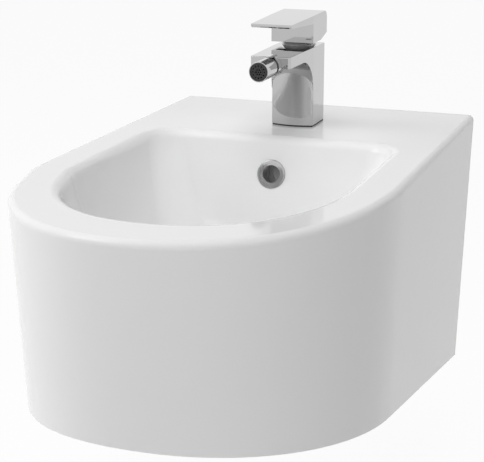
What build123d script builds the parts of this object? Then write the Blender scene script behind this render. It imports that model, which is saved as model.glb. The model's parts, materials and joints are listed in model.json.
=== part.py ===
from build123d import *
import math
import os

# Wall-hung bidet in glazed china with a deck-mounted single-lever mixer, a swivelling
# aerator nozzle, a push-to-close waste and the fixings that clamp it to the wall.
# Millimetres. Origin: midway between the two wall fixing holes, on the wall face.
# +Y runs into the wall, so the bowl projects towards -Y. +Z is up.

os.makedirs("parts", exist_ok=True)

# China body, outside
body_width = 350.0
body_depth = 580.0
body_height = 290.0            # at the wall
straight_side = 334.0          # straight flank before the front starts to curve
front_fullness = 2.2           # exponent of the front curve, 2 is a plain ellipse
side_draft = 8.5               # each flank leans in by this much over the full height
front_draft = 23.0
underside_rise = 0.184         # the lower edge climbs towards the front
fixing_drop = 80.0             # rim top above the wall fixings
top_edge_radius = 6.0
lower_edge_radius = 4.0
china = 12.0                   # wall thickness
deck = 14.0                    # thickness of the rim and tap deck
back_panel = 14.0

# Bowl
bowl_half_width = 132.0
bowl_back = 184.0              # distance of the rear bowl edge from the wall
bowl_front = 524.0
bowl_straight = 348.0
bowl_corner = 28.0
bowl_depth = 128.0
lip_radius = 10.0
floor_half_width = 60.0
floor_back = 262.0
floor_front = 398.0
floor_corner = 48.0
wall_lean = 0.25               # share of the inward slope that is spread evenly

# Wall fixings
fixing_spacing = 180.0
fixing_hole_radius = 11.0
stud_hole_radius = 6.5
stud_clear_radius = 6.1        # plain bore of the nut, so that an M12 stud passes
sleeve_end = 0.5               # the sleeve stays this far behind the wall face
collar_radius = 15.5
collar_thickness = 2.5
washer_radius = 14.5
washer_thickness = 2.5
nut_flats = 19.0
nut_thickness = 10.0
cap_outer_radius = 16.4        # protective cap over nut and stud end
cap_depth = 46.0
cap_wall = 1.6
cap_rounding = 5.0
notch_half_width = 60.0        # pipe notch in the back panel
notch_top = -62.0

# Waste
waste_y = 322.0
waste_hole_radius = 22.5
waste_neck_radius = 36.0
waste_neck_drop = 34.0         # neck below the underside of the bowl floor
waste_thread_radius = 21.0
waste_bore_radius = 18.0
flange_radius = 31.5
flange_thickness = 2.5
flange_recess = 3.2
waste_seal = 1.6
lower_seal = 4.0
backnut_height = 11.0
backnut_flats = 62.0
tail_radius = 16.0
tail_wall = 1.5
tail_length = 40.0
collar_wall = 4.0              # coupling nut of the tail pipe
collar_grip = 12.0             # engagement on the waste thread
collar_foot = 7.0
collar_flutes = 12
lower_seal_radius = 33.0
plug_radius = 28.0
plug_travel = 8.0

# Overflow
overflow_drop = 38.0           # centre below the rim top
overflow_lean = 10.0           # degrees, the pad faces slightly up
overflow_radius = 15.0
overflow_bore = 9.3
overflow_spigot = 11.6
overflow_hole = 12.2
duct_half_width = 15.0
duct_wall = 8.0

# Mixer
tap_y = 102.5
tap_hole_radius = 17.5
tap_half_width = 23.4
tap_back = 81.5
tap_front = 124.0
tap_front_bulge = 5.0
tap_seal = 1.8
tap_height = 86.0              # above the deck
spout_reach = 198.5            # distance of the spout face from the wall
spout_thickness = 11.4
spout_half_width = 21.5        # at its face
cove_radius = 34.0             # sweep from the column into the spout
edge_break = 1.0
cartridge_radius = 15.0
cartridge_floor = 44.0         # bottom of the cartridge pocket above the deck
cap_radius = 18.6
nut_height = 6.5
waterway = 2.3
riser_y = 121.8                # water rises in the front wall of the column

# Swivelling nozzle
nozzle_height = 76.0           # axis above the deck
boss_length = 3.0
ball_radius = 7.6
race_thickness = 0.95
ball_offset = 10.0             # ball centre in front of the spout face
barrel_radius = 10.3
nozzle_length = 36.5           # aerator face in front of the spout face
swivel_rear = 3.4              # rear rim of the barrel behind the ball centre

# Lever
lever_gap = 4.8                # air between the column and the lever block
lever_top = 120.6              # above the deck, at the back
lever_fall = 0.018             # the top falls gently towards the tip
lever_lip = 3.4
lever_root = 8.6               # plate thickness where it meets the block
lever_back = 76.6
lever_front = 126.0            # front face of the block
lever_wall = 3.0
lever_core_bottom = 99.0       # boss over the spindle, above the deck
lever_core_top = 104.0
lever_core_half = 8.0
pivot_height = 80.0
spindle_half = 4.4
spindle_top = 108.0
grub_radius = 2.0
grub_height = 101.5
index_radius = 3.2

# Deck fixing of the mixer
stud_radius = 4.0
stud_offset = 9.0
stud_grip = 21.5               # length inside the column
stud_below = 44.0              # length under the deck
gasket_radius = 25.0
gasket_thickness = 3.0
plate_radius = 24.0
plate_thickness = 2.0
long_nut_flats = 13.0
long_nut_height = 22.0
inlet_radius = 4.9
inlet_half_spacing = 8.0
inlet_offset = -6.0
inlet_margin = 1.6             # air around the inlets in the horseshoe plates

# Fits
pin_clearance = 0.05
loose_clearance = 0.3
cut = 200.0                    # generous length for cutting tools

rim = fixing_drop
lever_tip = spout_reach
nozzle_tip = spout_reach + nozzle_length
floor_top = rim - bowl_depth
floor_under = floor_top - china
neck_end = floor_under - waste_neck_drop


# General helpers

def rod(radius, z0, z1, x=0.0, y=0.0):
    """Upright cylinder between two heights."""
    return Pos(x, y, (z0 + z1) / 2) * Cylinder(radius, abs(z1 - z0))


def tube(outer, inner, z0, z1, x=0.0, y=0.0):
    return rod(outer, z0, z1, x, y) - rod(inner, z0 - 1, z1 + 1, x, y)


def rod_y(radius, y0, y1, x=0.0, z=0.0):
    """Cylinder lying along Y."""
    return Pos(x, (y0 + y1) / 2, z) * Rot(90, 0, 0) * Cylinder(radius, abs(y1 - y0))


def tube_y(outer, inner, y0, y1, x=0.0, z=0.0):
    low, high = min(y0, y1), max(y0, y1)
    return rod_y(outer, low, high, x, z) - rod_y(inner, low - 1, high + 1, x, z)


def block(x0, x1, y0, y1, z0, z1):
    centre = Pos((x0 + x1) / 2, (y0 + y1) / 2, (z0 + z1) / 2)
    return centre * Box(abs(x1 - x0), abs(y1 - y0), abs(z1 - z0))


def side_profile(points, half_width):
    """Prism with a section drawn in the Y-Z plane, centred on X = 0."""
    wire = Polyline(*points, close=True)
    section = Plane.YZ * make_face(wire)
    return extrude(section, half_width, both=True)


def rise(plan, z, height):
    """Plan outline lifted to a height and extruded upwards."""
    return extrude(Pos(0, 0, z) * plan, height, dir=(0, 0, 1))


def hexagon(flats, z0, z1, x=0.0, y=0.0):
    plan = Pos(x, y, 0) * RegularPolygon(flats / 2, 6, major_radius=False)
    return rise(plan, z0, z1 - z0)


def soften(shape, edges, radius):
    """Round the given edges, or keep them sharp where the kernel cannot."""
    try:
        rounded = fillet(edges, radius)
        return rounded if rounded.is_valid else shape
    except Exception:
        return shape


# China body

def front_curve(half_width, straight, depth):
    """Spline round the front, from the right flank to the left one."""
    points = []
    steps = 12
    for i in range(steps + 1):
        angle = math.pi * i / steps
        across = math.cos(angle)
        ahead = max(0.0, math.sin(angle))
        x = math.copysign(half_width * abs(across) ** (2 / front_fullness), across)
        y = -straight - (depth - straight) * ahead ** (2 / front_fullness)
        points.append((x, y))
    return Spline(*points, tangents=[(0, -1), (0, 1)])


def d_face(half_width, straight, depth, back, z):
    """D-shaped outline, flat at the back."""
    curve = front_curve(half_width, straight, depth)
    right = Line((half_width, -back), (half_width, -straight))
    left = Line((-half_width, -straight), (-half_width, -back))
    rear = Line((-half_width, -back), (half_width, -back))
    return Pos(0, 0, z) * make_face(Curve() + [right, curve, left, rear])


def bowl_face(half_width, back, straight, front, corner, z):
    """Bowl outline: square shoulders at the back, full curve at the front."""
    curve = front_curve(half_width, straight, front)
    turn = corner * (1 - math.sqrt(0.5))
    shoulder = -back - corner
    right = Line((half_width, shoulder), (half_width, -straight))
    left = Line((-half_width, -straight), (-half_width, shoulder))
    left_arc = ThreePointArc(
        (-half_width, shoulder), (-half_width + turn, -back - turn), (-half_width + corner, -back)
    )
    rear = Line((-half_width + corner, -back), (half_width - corner, -back))
    right_arc = ThreePointArc(
        (half_width - corner, -back), (half_width - turn, -back - turn), (half_width, shoulder)
    )
    return Pos(0, 0, z) * make_face(Curve() + [right, curve, left, left_arc, rear, right_arc])


def bowl_solid(grow):
    """Bowl volume, enlarged by grow on every side but the top."""
    floor_straight = (floor_back + floor_front) / 2
    faces = []
    for angle in (0, 18, 36, 54, 70, 82, 90):
        turn = math.radians(angle)
        down = math.sin(turn)
        inward = wall_lean * down + (1 - wall_lean) * (1 - math.cos(turn))
        faces.append(
            bowl_face(
                bowl_half_width + (floor_half_width - bowl_half_width) * inward + grow,
                bowl_back + (floor_back - bowl_back) * inward - grow,
                bowl_straight + (floor_straight - bowl_straight) * inward,
                bowl_front + (floor_front - bowl_front) * inward + grow,
                bowl_corner + (floor_corner - bowl_corner) * inward + grow,
                rim - (bowl_depth + grow) * down,
            )
        )
    return loft(faces)


def below_underside(lift):
    """Everything under the slanted lower edge, raised by lift."""
    z_wall = rim - body_height + lift
    reach = body_depth + 100
    z_front = z_wall + underside_rise * reach
    low = z_wall - cut
    points = [(100, z_wall - 100 * underside_rise), (-reach, z_front), (-reach, low), (100, low)]
    return side_profile(points, body_width)


def outer_form():
    half = body_width / 2
    foot = rim - body_height
    behind = -20
    top = d_face(half, straight_side, body_depth, behind, rim)
    bottom = d_face(half - side_draft, straight_side, body_depth - front_draft, behind, foot)
    form = loft([top, bottom]) - block(-body_width, body_width, 0, cut, foot - 1, rim + 1)
    crown = [e for e in form.faces().sort_by(Axis.Z)[-1].edges() if e.center().Y < -1]
    form = soften(form, crown, top_edge_radius)
    form = form - below_underside(0)
    lower = form.faces().filter_by(lambda f: f.normal_at().Z < -0.9)
    edges = [e for e in lower.edges() if e.center().Y < -1]
    return soften(form, edges, lower_edge_radius)


def hollow_form():
    """Space inside the outer wall, open below."""
    half = body_width / 2 - china
    ceiling = rim - deck
    low = rim - body_height - 20
    share = (ceiling - low) / body_height
    top = d_face(half, straight_side, body_depth - china, back_panel, ceiling)
    bottom = d_face(
        half - side_draft * share, straight_side, body_depth - china - front_draft * share, back_panel, low
    )
    return loft([top, bottom])


def overflow_place():
    """Frame on the rear bowl wall: Z of this frame points into the bowl."""
    turn = math.asin(overflow_drop / bowl_depth)
    inward = wall_lean * math.sin(turn) + (1 - wall_lean) * (1 - math.cos(turn))
    y = bowl_back + (floor_back - bowl_back) * inward
    return Pos(0, -y, rim - overflow_drop) * Rot(90 - overflow_lean, 0, 0)


def overflow_duct(grow):
    """Channel cast behind and under the bowl, from the overflow hole to the waste neck."""
    points = [
        (-170, rim - deck - duct_wall + grow),
        (-152 + grow, rim - deck - duct_wall + grow),
        (-158 + grow, 0),
        (-178 + grow, -50 - grow / 2),
        (-214, -84 - grow),
        (-waste_y + 26 - grow, -84 - grow),
        (-waste_y + 26 - grow, -66),
        (-230, -40),
        (-200, 40),
    ]
    return side_profile(points, duct_half_width + grow)


def china_body():
    bowl_skin = bowl_solid(china)
    shell = outer_form() - (hollow_form() - bowl_skin)
    neck = rod(waste_neck_radius, neck_end, floor_under + 4, y=-waste_y)
    shell = shell + (overflow_duct(duct_wall) - bowl_solid(china / 2)) + neck
    shell = shell - bowl_solid(0)
    lip = [
        e
        for e in shell.edges()
        if abs(e.center().Z - rim) < 0.01 and -bowl_front - 1 < e.center().Y < -bowl_back + 1
        and max(abs(v.X) for v in e.vertices()) < bowl_half_width + 1
    ]
    shell = soften(shell, lip, lip_radius)
    shell = shell - (overflow_duct(0) - bowl_skin)
    shell = shell - rod(waste_hole_radius, neck_end - 1, rim, y=-waste_y)
    shell = shell - block(
        -duct_half_width, duct_half_width, -waste_y, -waste_y + 30, -84, -68
    )
    shell = shell - rod(flange_radius + 0.7, floor_top - flange_recess, rim, y=-waste_y)
    shell = shell - rod(tap_hole_radius, rim - deck - 1, rim + 1, y=-tap_y)
    place = overflow_place()
    shell = shell - place * Pos(0, 0, -20) * Cylinder(overflow_hole, 44)
    shell = shell - place * Pos(0, 0, 4.2) * Cylinder(overflow_radius + 0.6, 10)
    for x in (-fixing_spacing / 2, fixing_spacing / 2):
        shell = shell - rod_y(fixing_hole_radius, -back_panel - 1, 1, x=x)
    foot = rim - body_height - 1
    shell = shell - block(-notch_half_width, notch_half_width, -back_panel - 1, 1, foot, notch_top)
    return shell


def overflow_ring():
    """Stepped chrome ring pushed into the overflow hole."""
    place = overflow_place()
    seat = -0.8
    flange = Pos(0, 0, seat + 1.4) * Cylinder(overflow_radius, 2.8)
    flange = fillet(flange.edges().group_by(Axis.Z)[-1], 1.2)
    spigot = Pos(0, 0, seat - 5) * Cylinder(overflow_spigot, 10)
    step = Pos(0, 0, seat + 2.3) * Cylinder(overflow_bore + 2.0, 2.0)
    bore = Pos(0, 0, seat - 3) * Cylinder(overflow_bore, 20)
    return place * (flange + spigot - step - bore)


# Wall fixings

collar_face = -back_panel - collar_thickness


def fixing_sleeve(x):
    body = tube_y(fixing_hole_radius - loose_clearance, stud_hole_radius, -back_panel, -sleeve_end, x)
    collar = tube_y(collar_radius, stud_hole_radius, collar_face, -back_panel, x)
    return body + collar


def fixing_washer(x):
    return tube_y(washer_radius, stud_hole_radius, collar_face - washer_thickness, collar_face, x)


def fixing_nut(x):
    seat_y = collar_face - washer_thickness
    nut = Pos(x, seat_y, 0) * Rot(90, 0, 0) * hexagon(nut_flats, 0, nut_thickness)
    return nut - rod_y(stud_clear_radius, seat_y - nut_thickness - 1, seat_y + 1, x=x)


def fixing_cap(x):
    """Protective cap clipped over the washer, hollow so that the stud can stand in it."""
    tip = collar_face - cap_depth
    shell = rod_y(cap_outer_radius, tip, collar_face, x=x)
    front = shell.faces().sort_by(Axis.Y)[0]
    shell = fillet(front.edges(), cap_rounding)
    return shell - rod_y(cap_outer_radius - cap_wall, tip + cap_wall, collar_face + 1, x=x)


# Mixer column and spout

def column_face(inset):
    """Plan of the column: square back, slightly bowed front."""
    half = tap_half_width - inset
    back = -tap_back - inset
    front = -tap_front + inset
    bow = ThreePointArc((half, front), (0, front - tap_front_bulge), (-half, front))
    rest = Polyline((-half, front), (-half, back), (half, back), (half, front))
    return make_face(Curve() + [bow, rest])


def spout_plan():
    """Plan of the spout slab, from inside the column to its face."""
    inner = -tap_back - 10
    return Polygon(
        (tap_half_width, inner),
        (tap_half_width, -tap_front),
        (spout_half_width, -spout_reach),
        (-spout_half_width, -spout_reach),
        (-tap_half_width, -tap_front),
        (-tap_half_width, inner),
        align=None,
    )


def cove():
    """Concave sweep under the spout, running down the front of the column."""
    top = rim + tap_height - spout_thickness
    y0 = -tap_front
    r = cove_radius
    turn = r * (1 - math.sqrt(0.5))
    arc = ThreePointArc((y0, top - r), (y0 - turn, top - turn), (y0 - r, top))
    rest = Polyline((y0 - r, top), (y0 - r, top + 4), (y0 + 12, top + 4), (y0 + 12, top - r), (y0, top - r))
    section = Plane.YZ * make_face(Curve() + [arc, rest])
    return extrude(section, tap_half_width, both=True)


def tap_form():
    foot = rim + tap_seal
    crest = rim + tap_height
    column = rise(column_face(0), foot, crest - foot)
    uprights = column.edges().filter_by(Axis.Z)
    column = soften(column, uprights, 3.0)
    slab = rise(spout_plan(), crest - spout_thickness, spout_thickness)
    corners = [e for e in slab.edges().filter_by(Axis.Z) if e.center().Y < -spout_reach + 1]
    slab = soften(slab, corners, 2.5)
    sweep = cove() & rise(spout_plan(), foot, crest - foot)
    return column + slab + sweep


def tap_body():
    form = tap_form()
    crest = rim + tap_height
    top_edges = form.faces().sort_by(Axis.Z)[-1].edges()
    form = soften(form, top_edges, edge_break)
    axis = rim + nozzle_height
    boss = rod_y(barrel_radius + 0.4, -spout_reach - boss_length, -spout_reach + 14, z=axis)
    form = form + boss
    form = form - rod(cartridge_radius + pin_clearance, rim + cartridge_floor, crest + 1, y=-tap_y)
    form = form - rod(cap_radius - 2.0, crest - nut_height - 1, crest + 1, y=-tap_y)
    low = rim + cartridge_floor - 4
    high = rim + nozzle_height + 3
    form = form - rod(waterway, low, rim + cartridge_floor + 1, y=-tap_y)
    form = form - rod_y(waterway, -riser_y, -tap_y, z=low) - rod(waterway, low, high, y=-riser_y)
    form = form - rod_y(waterway, -spout_reach, -riser_y, z=high)
    form = form - rod_y(5.5 + pin_clearance, -spout_reach - boss_length - 1, -spout_reach + 6, z=axis)
    foot = rim + tap_seal
    form = form - rod(stud_radius + pin_clearance, foot - 1, foot + stud_grip + 0.5, y=-tap_y + stud_offset)
    for x in (-inlet_half_spacing, inlet_half_spacing):
        form = form - rod(inlet_radius, foot - 1, rim + cartridge_floor + 1, x=x, y=-tap_y + inlet_offset)
    return form


def tap_base_seal():
    seal = rise(column_face(0.8), rim, tap_seal)
    return seal - rod(tap_hole_radius - 1.5, rim - 1, rim + 5, y=-tap_y)


# Cartridge

def cartridge_body():
    low = rim + cartridge_floor
    high = rim + tap_height - nut_height - 1
    shell = rod(cartridge_radius, low, high, y=-tap_y)
    shell = shell - rod(cartridge_radius - 2.5, rim + 62, high + 1, y=-tap_y)
    for x in (-inlet_half_spacing, inlet_half_spacing):
        shell = shell - rod(waterway, low - 1, rim + 63, x=x, y=-tap_y + inlet_offset)
    return shell - rod(waterway, low - 1, rim + 63, y=-tap_y)


def cartridge_carrier():
    """Upper half of the cartridge: turns with the lever and carries its pivot pin."""
    low = rim + 62.3
    high = rim + tap_height - 1.2
    radius = cartridge_radius - 2.5 - pin_clearance
    carrier = rod(radius, low, high, y=-tap_y)
    slot = block(-4.9, 4.9, -tap_y - 10.5, -tap_y + 10.5, low + 2.5, high + 1)
    carrier = carrier - slot
    pin = Pos(0, -tap_y, rim + pivot_height) * Rot(0, 90, 0) * Cylinder(1.8, 16)
    return carrier + pin


def cartridge_spindle():
    """Square post that tips on the pivot pin inside the carrier."""
    z = rim + pivot_height
    half = spindle_half
    post = block(-half, half, -tap_y - half, -tap_y + half, z - 8, rim + spindle_top)
    pin = Pos(0, -tap_y, z) * Rot(0, 90, 0) * Cylinder(1.8 + pin_clearance, 20)
    return post - pin


def cartridge_nut():
    """Threaded ring that holds the cartridge down in the column."""
    crest = rim + tap_height
    radius = cap_radius - 2.0 - pin_clearance
    ring = tube(radius, 12.8, crest - 1 - nut_height, crest - 1, y=-tap_y)
    for angle in range(0, 360, 90):
        notch = Pos(0, -tap_y, crest - 1.5) * Rot(0, 0, angle + 45) * Pos(radius, 0, 0) * Box(6, 4, 3)
        ring = ring - notch
    return ring


def cartridge_cap():
    """Domed chrome collar that shows in the gap under the lever."""
    crest = rim + tap_height
    height = 6.5
    cap = Pos(0, -tap_y, crest) * Cone(cap_radius, 13.8, height, align=(Align.CENTER, Align.CENTER, Align.MIN))
    cap = soften(cap, cap.edges().group_by(Axis.Z)[-1], 2.0)
    return cap - rod(12.8, crest - 1, crest + height + 1, y=-tap_y)


# Lever

def lever_plan():
    """Plan of the handle: as wide as the column, narrowing slightly to the tip."""
    return Polygon(
        (tap_half_width, -lever_back),
        (tap_half_width, -lever_front),
        (spout_half_width, -lever_tip),
        (-spout_half_width, -lever_tip),
        (-tap_half_width, -lever_front),
        (-tap_half_width, -lever_back),
        align=None,
    )


def lever_section():
    """Side view of the handle: a thin plate growing into the block over the cartridge."""
    low = rim + tap_height + lever_gap
    top_back = rim + lever_top
    tip = -lever_tip
    top_tip = top_back - lever_fall * (lever_tip - lever_back)
    root = -lever_front
    top_root = top_back - lever_fall * (lever_front - lever_back)
    return [
        (-lever_back, low + 5.8),
        (-lever_back - 22, low),
        (root, low),
        (root, top_root - lever_root),
        (tip + 1.2, top_tip - lever_lip),
        (tip, top_tip - lever_lip + 1.2),
        (tip, top_tip - 1.0),
        (tip + 3.0, top_tip),
        (-lever_back - 7, top_back),
        (-lever_back - 2, top_back - 2.4),
        (-lever_back, top_back - 7.5),
    ]


def lever():
    low = rim + tap_height + lever_gap
    section = side_profile(lever_section(), tap_half_width)
    handle = section & rise(lever_plan(), low - 1, 60)
    tips = [e for e in handle.edges() if e.center().Y < -lever_tip + 1 and abs(e.center().X) > 15]
    handle = soften(handle, [e for e in tips if e.length < 6], 2.0)
    inner = tap_half_width - lever_wall
    roof = rim + lever_core_top - 1
    pocket = block(-inner, inner, -lever_front + lever_wall, -lever_back - lever_wall, low - 1, roof)
    half = spindle_half + pin_clearance
    socket = block(-half, half, -tap_y - half, -tap_y + half, low - 1, rim + spindle_top + 0.1)
    core_half = lever_core_half
    core_low = rim + lever_core_bottom
    core = block(-core_half, core_half, -tap_y - core_half, -lever_back - 1, core_low, rim + lever_core_top)
    handle = handle - pocket + core - socket
    axis = rim + grub_height
    screw_hole = rod_y(grub_radius + pin_clearance, -tap_y, -lever_back + 1, z=axis)
    plug_hole = rod_y(index_radius + pin_clearance, -lever_back - 2.5, -lever_back + 1, z=axis)
    return handle - screw_hole - plug_hole


def lever_grub_screw():
    z = rim + grub_height
    screw = rod_y(grub_radius, -tap_y + spindle_half + pin_clearance, -tap_y + 14, z=z)
    key = Pos(0, -tap_y + 14, z) * Rot(90, 0, 0) * extrude(RegularPolygon(1.0, 6), 2.5, both=True)
    return screw - key


def lever_index_plug():
    plug = rod_y(index_radius, -lever_back - 2.4, -lever_back + 0.3, z=rim + grub_height)
    return soften(plug, plug.faces().sort_by(Axis.Y)[-1].edges(), 0.25)


# Nozzle

nozzle_centre = (0.0, -spout_reach - ball_offset, rim + nozzle_height)


def nozzle_ball():
    """Ball on a threaded stem, screwed into the spout face; water runs through it."""
    x, y, z = nozzle_centre
    ball = Pos(x, y, z) * Sphere(ball_radius)
    stem = rod_y(4.3, y, -spout_reach + 1, z=z)
    thread = rod_y(5.5, -spout_reach - boss_length - 0.8, -spout_reach + 5.6, z=z)
    bore = rod_y(2.8, y - 12, -spout_reach + 8, z=z)
    front = block(-12, 12, y - 12, y - 5.6, z - 12, z + 12)
    return ball + stem + thread - bore - front


def nozzle_race():
    """Plastic shell between ball and barrel, open towards both ends."""
    x, y, z = nozzle_centre
    shell = Sphere(ball_radius + race_thickness) - Sphere(ball_radius + pin_clearance)
    return Pos(x, y, z) * shell & block(-12, 12, y - 4.4, y + 2.6, z - 12, z + 12)


def nozzle_barrel():
    """Chrome sleeve that closes over the race and carries the aerator."""
    x, y, z = nozzle_centre
    rear = y + swivel_rear
    tip = -nozzle_tip + 0.6
    sleeve = rod_y(barrel_radius, tip, rear, z=z)
    sleeve = chamfer(sleeve.faces().sort_by(Axis.Y)[-1].edges(), 1.2)
    sleeve = soften(sleeve, sleeve.faces().sort_by(Axis.Y)[0].edges(), 0.5)
    socket = Sphere(ball_radius + race_thickness + pin_clearance)
    sleeve = sleeve - Pos(x, y, z) * socket - rod_y(5.9, tip - 1, y, z=z)
    return sleeve - rod_y(barrel_radius - 0.9, tip - 1, -nozzle_tip + 10.75, z=z)


def aerator_cage():
    """Dark aerator insert with concentric ribs and a drilled face."""
    y, z = -nozzle_tip, rim + nozzle_height
    radius = barrel_radius - 0.9 - pin_clearance
    cage = rod_y(radius, y + 1.2, y + 9.4, z=z) - rod_y(radius - 2, y + 4, y + 10, z=z)
    face = rod_y(radius, y + 0.4, y + 1.2, z=z)
    rings = tube_y(radius, radius - 1.2, y, y + 0.4, z=z) + tube_y(4.4, 3.4, y, y + 0.4, z=z)
    cage = cage + face + rings
    for count, reach in ((1, 0.0), (6, 2.4), (12, 6.2)):
        for i in range(count):
            angle = 2 * math.pi * i / count
            x = reach * math.cos(angle)
            up = reach * math.sin(angle)
            cage = cage - rod_y(0.7, y - 1, y + 5, x=x, z=z + up)
    return cage


def aerator_seal():
    y, z = -nozzle_tip + 9.4, rim + nozzle_height
    return tube_y(barrel_radius - 1.3, 6.4, y, y + 1.3, z=z)


# Deck fixing of the mixer

def mounting_stud():
    foot = rim + tap_seal
    return rod(stud_radius, rim - deck - stud_below, foot + stud_grip, y=-tap_y + stud_offset)


def horseshoe(radius, z0, z1):
    """Plate that reaches round the supply inlets, clamped by the stud."""
    plate = rod(radius, z0, z1, y=-tap_y)
    plate = plate - rod(stud_radius + loose_clearance, z0 - 1, z1 + 1, y=-tap_y + stud_offset)
    gap_y = -tap_y + inlet_offset
    half = inlet_half_spacing + inlet_radius + inlet_margin
    opening = block(-half, half, gap_y - 40, gap_y, z0 - 1, z1 + 1)
    for x in (-inlet_half_spacing, inlet_half_spacing):
        opening = opening + rod(inlet_radius + inlet_margin, z0 - 1, z1 + 1, x=x, y=gap_y)
    return plate - opening


gasket_low = rim - deck - gasket_thickness


def mounting_gasket():
    return horseshoe(gasket_radius, gasket_low, gasket_low + gasket_thickness)


def mounting_plate():
    return horseshoe(plate_radius, gasket_low - plate_thickness, gasket_low)


def mounting_nut():
    high = gasket_low - plate_thickness
    low = high - long_nut_height
    nut = hexagon(long_nut_flats, low, high, y=-tap_y + stud_offset)
    return nut - rod(stud_radius + pin_clearance, low - 1, high + 1, y=-tap_y + stud_offset)


# Waste

seat = floor_top - flange_recess
flange_under = seat + waste_seal
waste_end = neck_end - lower_seal - backnut_height - 16
bar_level = floor_under - 16


def waste_body():
    """Threaded tube with flange, overflow windows and a cross bar for the plug."""
    y = -waste_y
    flange = rod(flange_radius, flange_under, flange_under + flange_thickness, y=y)
    flange = soften(flange, flange.edges().group_by(Axis.Z)[-1], 1.6)
    body = flange + rod(waste_thread_radius, waste_end, flange_under + 0.5, y=y)
    body = body - rod(waste_bore_radius, waste_end - 1, rim, y=y)
    throat = Pos(0, y, flange_under + flange_thickness) * Cone(
        waste_bore_radius, 21.0, 3.4, align=(Align.CENTER, Align.CENTER, Align.MAX)
    )
    body = body - throat
    for angle in (0, 60, 120, 180, 240, 300):
        window = Pos(0, y, -76) * Rot(0, 0, angle + 30) * Pos(20, 0, 0) * Box(10, 10, 12)
        body = body - window
    bars = block(-18.6, 18.6, y - 1.5, y + 1.5, bar_level - 4, bar_level)
    bars = bars + block(-1.5, 1.5, y - 18.6, y + 18.6, bar_level - 4, bar_level)
    hub = rod(6.4, bar_level - 30, bar_level, y=y)
    return body + bars + hub - rod(4.2, bar_level - 27, bar_level + 1, y=y)


def waste_flange_seal():
    return tube(flange_radius - 1.5, waste_thread_radius + loose_clearance, seat, flange_under, y=-waste_y)


def waste_lower_seal():
    low = neck_end - lower_seal
    return tube(lower_seal_radius, waste_thread_radius + loose_clearance, low, neck_end, y=-waste_y)


def waste_backnut():
    high = neck_end - lower_seal
    nut = hexagon(backnut_flats, high - backnut_height, high, y=-waste_y)
    rounding = rod(backnut_flats / 2 + 2.6, high - backnut_height - 1, high + 1, y=-waste_y)
    bore = rod(waste_thread_radius + pin_clearance, high - 30, high + 1, y=-waste_y)
    return (nut & rounding) - bore


def tail_seal():
    return tube(waste_thread_radius - 0.5, tail_radius + 0.8, waste_end - 2, waste_end, y=-waste_y)


def tail_collar():
    """Coupling nut that draws the tail pipe up to the waste body."""
    high = waste_end + collar_grip
    low = waste_end - collar_foot
    nut = rod(waste_thread_radius + collar_wall, low, high, y=-waste_y)
    nut = soften(nut, nut.edges().group_by(Axis.Z)[0], 1.5)
    nut = nut - rod(waste_thread_radius + pin_clearance, waste_end - 4, high + 1, y=-waste_y)
    nut = nut - rod(tail_radius + 1, low - 1, waste_end, y=-waste_y)
    reach = waste_thread_radius + collar_wall + 0.6
    for i in range(collar_flutes):
        angle = 2 * math.pi * i / collar_flutes
        x = reach * math.cos(angle)
        y = -waste_y + reach * math.sin(angle)
        nut = nut - rod(1.5, low - 1, high + 1, x=x, y=y)
    return nut


def tail_pipe():
    y = -waste_y
    flange = rod(waste_thread_radius - 0.6, waste_end - 3.6, waste_end - 2, y=y)
    pipe = rod(tail_radius, waste_end - tail_length, waste_end - 2, y=y)
    shoulder = rod(tail_radius + 0.5, waste_end - collar_foot - 2, waste_end - 2, y=y)
    return flange + pipe + shoulder - rod(tail_radius - tail_wall, waste_end - cut, waste_end, y=y)


plug_rest = flange_under + flange_thickness + plug_travel


def plug_cap():
    """Low domed cap; it rests open and drops onto the flange."""
    cap = rod(plug_radius, plug_rest + 0.1, plug_rest + 4.8, y=-waste_y)
    cap = soften(cap, cap.edges().group_by(Axis.Z)[-1], 3.4)
    skirt = rod(14.5, plug_rest - 5.4, plug_rest + 1, y=-waste_y)
    screw_hole = rod(3.0 + pin_clearance, plug_rest - 8, plug_rest + 1.6, y=-waste_y)
    return cap + skirt - screw_hole - tube(18, 13.0, plug_rest - 4.2, plug_rest - 1.6, y=-waste_y)


def plug_seal():
    """Ring in the groove under the cap."""
    return tube(17.7, 13.0 + pin_clearance, plug_rest - 4.1, plug_rest - 1.7, y=-waste_y)


def plug_stem():
    y = -waste_y
    thread = rod(3.0, plug_rest - 8, plug_rest + 1.5, y=y)
    stem = rod(4.2 - pin_clearance, bar_level - 12, plug_rest - 5.4, y=y)
    return thread + stem


def plug_spring():
    """Return spring of the latch, standing in the hub under the stem."""
    y = -waste_y
    helix = Helix(pitch=3.0, height=13.7, radius=3.2, center=(0, y, bar_level - 26.35))
    wire = Plane(origin=helix @ 0, z_dir=helix % 0) * Circle(0.4)
    return sweep(wire, helix)


# Everything in one list, in the order in which it is put together

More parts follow.
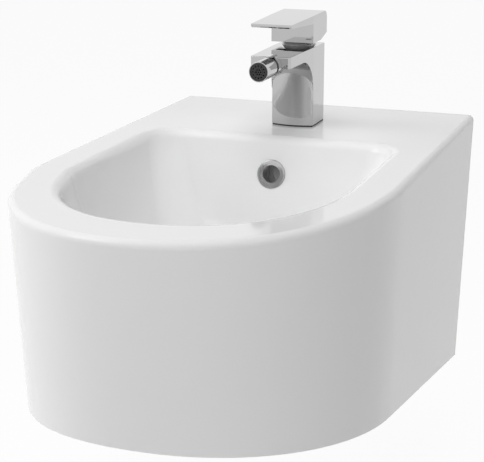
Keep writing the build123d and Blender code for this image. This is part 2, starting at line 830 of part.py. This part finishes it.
half_spacing = fixing_spacing / 2
nodes = {
    "china_body": china_body,
    "overflow_ring": overflow_ring,
    "fixing_sleeve_left": lambda: fixing_sleeve(-half_spacing),
    "fixing_sleeve_right": lambda: fixing_sleeve(half_spacing),
    "fixing_washer_left": lambda: fixing_washer(-half_spacing),
    "fixing_washer_right": lambda: fixing_washer(half_spacing),
    "fixing_nut_left": lambda: fixing_nut(-half_spacing),
    "fixing_nut_right": lambda: fixing_nut(half_spacing),
    "fixing_cap_left": lambda: fixing_cap(-half_spacing),
    "fixing_cap_right": lambda: fixing_cap(half_spacing),
    "waste_flange_seal": waste_flange_seal,
    "waste_body": waste_body,
    "waste_lower_seal": waste_lower_seal,
    "waste_backnut": waste_backnut,
    "tail_seal": tail_seal,
    "tail_pipe": tail_pipe,
    "tail_collar": tail_collar,
    "plug_cap": plug_cap,
    "plug_seal": plug_seal,
    "plug_stem": plug_stem,
    "plug_spring": plug_spring,
    "tap_base_seal": tap_base_seal,
    "tap_body": tap_body,
    "mounting_stud": mounting_stud,
    "mounting_gasket": mounting_gasket,
    "mounting_plate": mounting_plate,
    "mounting_nut": mounting_nut,
    "cartridge_body": cartridge_body,
    "cartridge_carrier": cartridge_carrier,
    "cartridge_spindle": cartridge_spindle,
    "cartridge_nut": cartridge_nut,
    "cartridge_cap": cartridge_cap,
    "lever": lever,
    "lever_grub_screw": lever_grub_screw,
    "lever_index_plug": lever_index_plug,
    "nozzle_ball": nozzle_ball,
    "nozzle_race": nozzle_race,
    "nozzle_barrel": nozzle_barrel,
    "aerator_cage": aerator_cage,
    "aerator_seal": aerator_seal,
}

for name, make in nodes.items():
    export_step(make(), f"parts/{name}.step")
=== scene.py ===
import bpy
import json
import math
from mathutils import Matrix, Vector


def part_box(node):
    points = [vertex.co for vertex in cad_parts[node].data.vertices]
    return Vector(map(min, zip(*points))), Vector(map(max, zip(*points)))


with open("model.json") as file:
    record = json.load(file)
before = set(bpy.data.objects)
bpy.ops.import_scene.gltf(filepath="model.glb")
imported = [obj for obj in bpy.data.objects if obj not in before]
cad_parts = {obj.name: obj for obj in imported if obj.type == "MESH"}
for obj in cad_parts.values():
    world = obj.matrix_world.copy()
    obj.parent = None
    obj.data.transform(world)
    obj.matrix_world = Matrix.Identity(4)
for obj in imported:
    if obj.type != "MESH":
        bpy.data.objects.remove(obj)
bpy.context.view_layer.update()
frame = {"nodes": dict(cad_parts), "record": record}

# Wall-hung bidet: materials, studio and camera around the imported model.
# Metres, in the frame of the model: origin between the wall fixings, bowl towards -Y, +Z up.

# Camera
camera_place = (0.4372, -1.4808, 0.3795)
camera_heading = math.radians(20.04)
camera_dip = math.radians(16.38)
camera_lens = 99.44
sensor_width = 36.0

# Room
rim_above_floor = 0.400
floor_size = 40.0
background_level = 1.0
ambient_level = 0.0
floor_shadow_share = 0.05

# Shapes of the object that the materials follow
china_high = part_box("china_body")[1]
rim_level = china_high.z
wall_plane = china_high.y
unglazed_depth = 0.0015
below_rim = 0.15


class Wire:
    """A node's output that takes part in plain arithmetic."""

    def __init__(self, board, socket):
        self.board = board
        self.socket = socket

    def out(self, name):
        return Wire(self.board, self.socket.node.outputs[name])

    def sum(self, operation, first, second):
        return self.board.add("ShaderNodeMath", {"operation": operation}, {0: first, 1: second})

    def __add__(self, other):
        return self.sum("ADD", self, other)

    def __radd__(self, other):
        return self.sum("ADD", other, self)

    def __mul__(self, other):
        return self.sum("MULTIPLY", self, other)

    def __rmul__(self, other):
        return self.sum("MULTIPLY", other, self)

    def __gt__(self, other):
        return self.sum("GREATER_THAN", self, other)

    def __lt__(self, other):
        return self.sum("LESS_THAN", self, other)


class Board:
    """A node tree, and the one method that adds a node to it."""

    def __init__(self, tree):
        self.tree = tree
        self.tree.nodes.clear()

    def add(self, kind, settings, inputs):
        node = self.tree.nodes.new(kind)
        for name, value in settings.items():
            setattr(node, name, value)
        for name, value in inputs.items():
            if isinstance(value, Wire):
                self.tree.links.new(value.socket, node.inputs[name])
            else:
                node.inputs[name].default_value = value
        return Wire(self, node.outputs[0]) if node.outputs else None

    def place(self):
        """Position on the object, in metres."""
        return self.add("ShaderNodeTexCoord", {}, {}).out("Object")

    def noise(self, size, detail=2.0, stretch=(1.0, 1.0, 1.0)):
        """Cloudy value round 0.5 whose spots are about size metres across."""
        scale = tuple(share / size for share in stretch)
        vector = self.add("ShaderNodeVectorMath", {"operation": "MULTIPLY"}, {0: self.place(), 1: scale})
        return self.add("ShaderNodeTexNoise", {}, {"Vector": vector, "Scale": 1.0, "Detail": detail})

    def blend(self, factor, first, second):
        """Colour between two colours."""
        wire = self.add(
            "ShaderNodeMix", {"data_type": "RGBA"}, {0: factor, 6: opaque(first), 7: opaque(second)}
        )
        return Wire(self, wire.socket.node.outputs[2])

    def bump(self, height, depth):
        """Surface relief: height from 0 to 1 stands for depth metres."""
        return self.add("ShaderNodeBump", {}, {"Height": height, "Distance": depth, "Strength": 1.0})

    def surface(self, inputs):
        shader = self.add("ShaderNodeBsdfPrincipled", {}, inputs)
        self.add("ShaderNodeOutputMaterial", {}, {"Surface": shader})


def opaque(colour):
    if isinstance(colour, Wire) or len(colour) == 4:
        return colour
    return (*colour, 1.0)


def new_material(name):
    material = bpy.data.materials.new(name)
    material.use_nodes = True
    return material, Board(material.node_tree)


# Materials

def glazed_china():
    """White glaze, faintly wavy; bare where it stands on the wall and on its lower edge."""
    material, board = new_material("glazed_china")
    drift = board.noise(0.18, 3.0)
    glaze = board.blend(drift, (0.872, 0.872, 0.874), (0.898, 0.898, 0.898))
    speck = board.noise(0.0016, 1.0)
    bare_clay = board.blend(speck, (0.72, 0.69, 0.64), (0.80, 0.78, 0.73))
    split = board.add("ShaderNodeSeparateXYZ", {}, {"Vector": board.place()})
    on_wall = split.out("Y") > wall_plane - unglazed_depth
    normal = board.add("ShaderNodeNewGeometry", {}, {}).out("True Normal")
    facing = board.add("ShaderNodeSeparateXYZ", {}, {"Vector": normal})
    below = (facing.out("Z") < -0.95) * (split.out("Z") < rim_level - below_rim)
    bare = board.add("ShaderNodeMath", {"operation": "MAXIMUM"}, {0: on_wall, 1: below})
    colour = board.blend(bare, glaze, bare_clay)
    sheen = 0.055 + board.noise(0.03, 2.0) * 0.035
    wave = board.noise(0.022, 2.0)
    relief = board.bump(wave, 0.00004)
    board.surface({
        "Base Color": colour,
        "Roughness": sheen + bare * 0.55,
        "Normal": relief,
        "IOR": 1.52,
    })
    return material


def polished_chrome():
    """Bright chrome plate with faint wipe marks."""
    material, board = new_material("polished_chrome")
    drift = board.noise(0.02, 2.0)
    colour = board.blend(drift, (0.485, 0.485, 0.487), (0.520, 0.520, 0.521))
    wipe = board.noise(0.004, 3.0, stretch=(0.3, 1.0, 1.0))
    board.surface({
        "Base Color": colour,
        "Metallic": 1.0,
        "Roughness": 0.035 + wipe * 0.03,
        "Normal": board.bump(board.noise(0.0007, 1.0), 0.0000015),
    })
    return material


def satin_collar():
    """Satin plate of the collar that shows in the gap under the lever."""
    material, board = new_material("satin_collar")
    drift = board.noise(0.006, 2.0)
    board.surface({
        "Base Color": board.blend(drift, (0.74, 0.74, 0.74), (0.80, 0.80, 0.80)),
        "Metallic": 0.35,
        "Roughness": 0.34 + drift * 0.06,
        "Normal": board.bump(board.noise(0.0007, 1.0), 0.0000015),
    })
    return material


def zinc_steel():
    material, board = new_material("zinc_steel")
    bloom = board.noise(0.004, 4.0)
    colour = board.blend(bloom, (0.52, 0.53, 0.54), (0.66, 0.65, 0.60))
    board.surface({
        "Base Color": colour,
        "Metallic": 1.0,
        "Roughness": 0.28 + bloom * 0.16,
        "Normal": board.bump(board.noise(0.0009, 3.0), 0.00002),
    })
    return material


def machined_brass():
    """Bare brass with the fine rings that turning leaves."""
    material, board = new_material("machined_brass")
    rings = board.noise(0.0006, 2.0, stretch=(0.05, 0.05, 1.0))
    tarnish = board.noise(0.008, 3.0)
    colour = board.blend(tarnish, (0.70, 0.54, 0.27), (0.58, 0.43, 0.22))
    board.surface({
        "Base Color": colour,
        "Metallic": 1.0,
        "Roughness": 0.22 + tarnish * 0.2,
        "Normal": board.bump(rings, 0.00002),
    })
    return material


def seal_rubber():
    material, board = new_material("seal_rubber")
    dust = board.noise(0.003, 4.0)
    colour = board.blend(dust, (0.020, 0.020, 0.022), (0.045, 0.045, 0.047))
    board.surface({
        "Base Color": colour,
        "Roughness": 0.55 + dust * 0.2,
        "Normal": board.bump(board.noise(0.0005, 2.0), 0.00003),
    })
    return material


def moulded_plastic(name, dark, light, roughness):
    """Injection-moulded plastic with a fine spark texture."""
    material, board = new_material(name)
    cloud = board.noise(0.012, 3.0)
    board.surface({
        "Base Color": board.blend(cloud, dark, light),
        "Roughness": roughness + cloud * 0.1,
        "Normal": board.bump(board.noise(0.0004, 1.0), 0.000008),
    })
    return material


finishes = {
    "glazed_china": glazed_china(),
    "chrome": polished_chrome(),
    "zinc_steel": zinc_steel(),
    "bare_brass": machined_brass(),
    "black_rubber": seal_rubber(),
    "white_plastic": moulded_plastic("white_plastic", (0.78, 0.78, 0.77), (0.84, 0.84, 0.83), 0.22),
    "nylon": moulded_plastic("nylon", (0.72, 0.72, 0.67), (0.79, 0.79, 0.75), 0.42),
    "cartridge_plastic": moulded_plastic("cartridge_plastic", (0.16, 0.17, 0.19), (0.21, 0.22, 0.24), 0.40),
    "aerator_plastic": moulded_plastic("aerator_plastic", (0.020, 0.020, 0.022), (0.032, 0.032, 0.034), 0.35),
    "index_plastic": moulded_plastic("index_plastic", (0.38, 0.40, 0.43), (0.45, 0.47, 0.50), 0.18),
}


def dress_nodes():
    for part in frame["record"]["subparts"]:
        piece = frame["nodes"][part["node"]]
        for place in piece.material_slots:
            place.material = finishes[part["material_slot"]]
    for place in frame["nodes"]["cartridge_cap"].material_slots:
        place.material = satin_collar()


# Studio

def open_to_view(board):
    """1 for the rays that show the background: straight, mirrored or through glass."""
    path = board.add("ShaderNodeLightPath", {}, {})
    seen = path.out("Is Camera Ray") + path.out("Is Glossy Ray") + path.out("Is Transmission Ray")
    return board.add("ShaderNodeMath", {"operation": "MINIMUM"}, {0: seen, 1: 1.0})


def room_light():
    world = bpy.data.worlds.new("studio")
    world.use_nodes = True
    bpy.context.scene.world = world
    board = Board(world.node_tree)
    seen = open_to_view(board)
    white = board.add("ShaderNodeBackground", {}, {"Color": (1, 1, 1, 1), "Strength": background_level})
    soft = board.add("ShaderNodeBackground", {}, {"Color": (1, 1, 1, 1), "Strength": ambient_level})
    both = board.add("ShaderNodeMixShader", {}, {0: seen, 1: soft, 2: white})
    board.add("ShaderNodeOutputWorld", {}, {"Surface": both})


def pale_floor():
    bpy.ops.mesh.primitive_plane_add(size=floor_size, location=(0, 0, rim_level - rim_above_floor))
    floor = bpy.context.object
    floor.name = "floor"
    material, board = new_material("pale_floor")
    cloud = board.noise(0.5, 2.0)
    paint = board.add("ShaderNodeBsdfPrincipled", {}, {
        "Base Color": board.blend(cloud, (0.80, 0.80, 0.80), (0.84, 0.84, 0.84)),
        "Roughness": 0.8,
    })
    white = board.add("ShaderNodeEmission", {}, {"Color": (1, 1, 1, 1), "Strength": background_level})
    seen = open_to_view(board)
    both = board.add("ShaderNodeMixShader", {}, {0: seen * (1 - floor_shadow_share), 1: paint, 2: white})
    board.add("ShaderNodeOutputMaterial", {}, {"Surface": both})
    floor.data.materials.append(material)


def softbox(name, place, target, width, height, power, mirrored=False):
    """Rectangular studio lamp aimed at a point."""
    lamp = bpy.data.lights.new(name, "AREA")
    lamp.shape = "RECTANGLE"
    lamp.size = width
    lamp.size_y = height
    lamp.energy = power
    box = bpy.data.objects.new(name, lamp)
    box.location = place
    box.rotation_euler = (Vector(target) - Vector(place)).to_track_quat("-Z", "Y").to_euler()
    box.visible_glossy = mirrored
    bpy.context.scene.collection.objects.link(box)


def place_lamps():
    bowl = (0.0, -0.30, 0.05)
    softbox("key_lamp", (-1.6, -1.9, 1.8), bowl, 1.2, 1.2, 9.3, mirrored=True)
    softbox("left_lamp", (-2.4, -0.6, 0.9), bowl, 1.4, 1.4, 30.0)
    softbox("top_lamp", (0.0, -0.5, 2.4), bowl, 1.8, 1.8, 33.0)
    softbox("front_lamp", (0.3, -3.0, 1.0), bowl, 1.4, 1.4, 19.0)
    softbox("right_lamp", (2.4, -1.2, 1.0), bowl, 1.4, 1.4, 10.5)


def place_camera():
    camera = bpy.data.cameras.new("camera")
    camera.lens = camera_lens
    camera.sensor_width = sensor_width
    camera.clip_end = 50.0
    eye = bpy.data.objects.new("camera", camera)
    eye.location = camera_place
    eye.rotation_euler = (math.pi / 2 - camera_dip, 0.0, camera_heading)
    bpy.context.scene.collection.objects.link(eye)
    bpy.context.scene.camera = eye


dress_nodes()
place_camera()
room_light()
pale_floor()
place_lamps()
bpy.context.scene.view_settings.view_transform = "Standard"
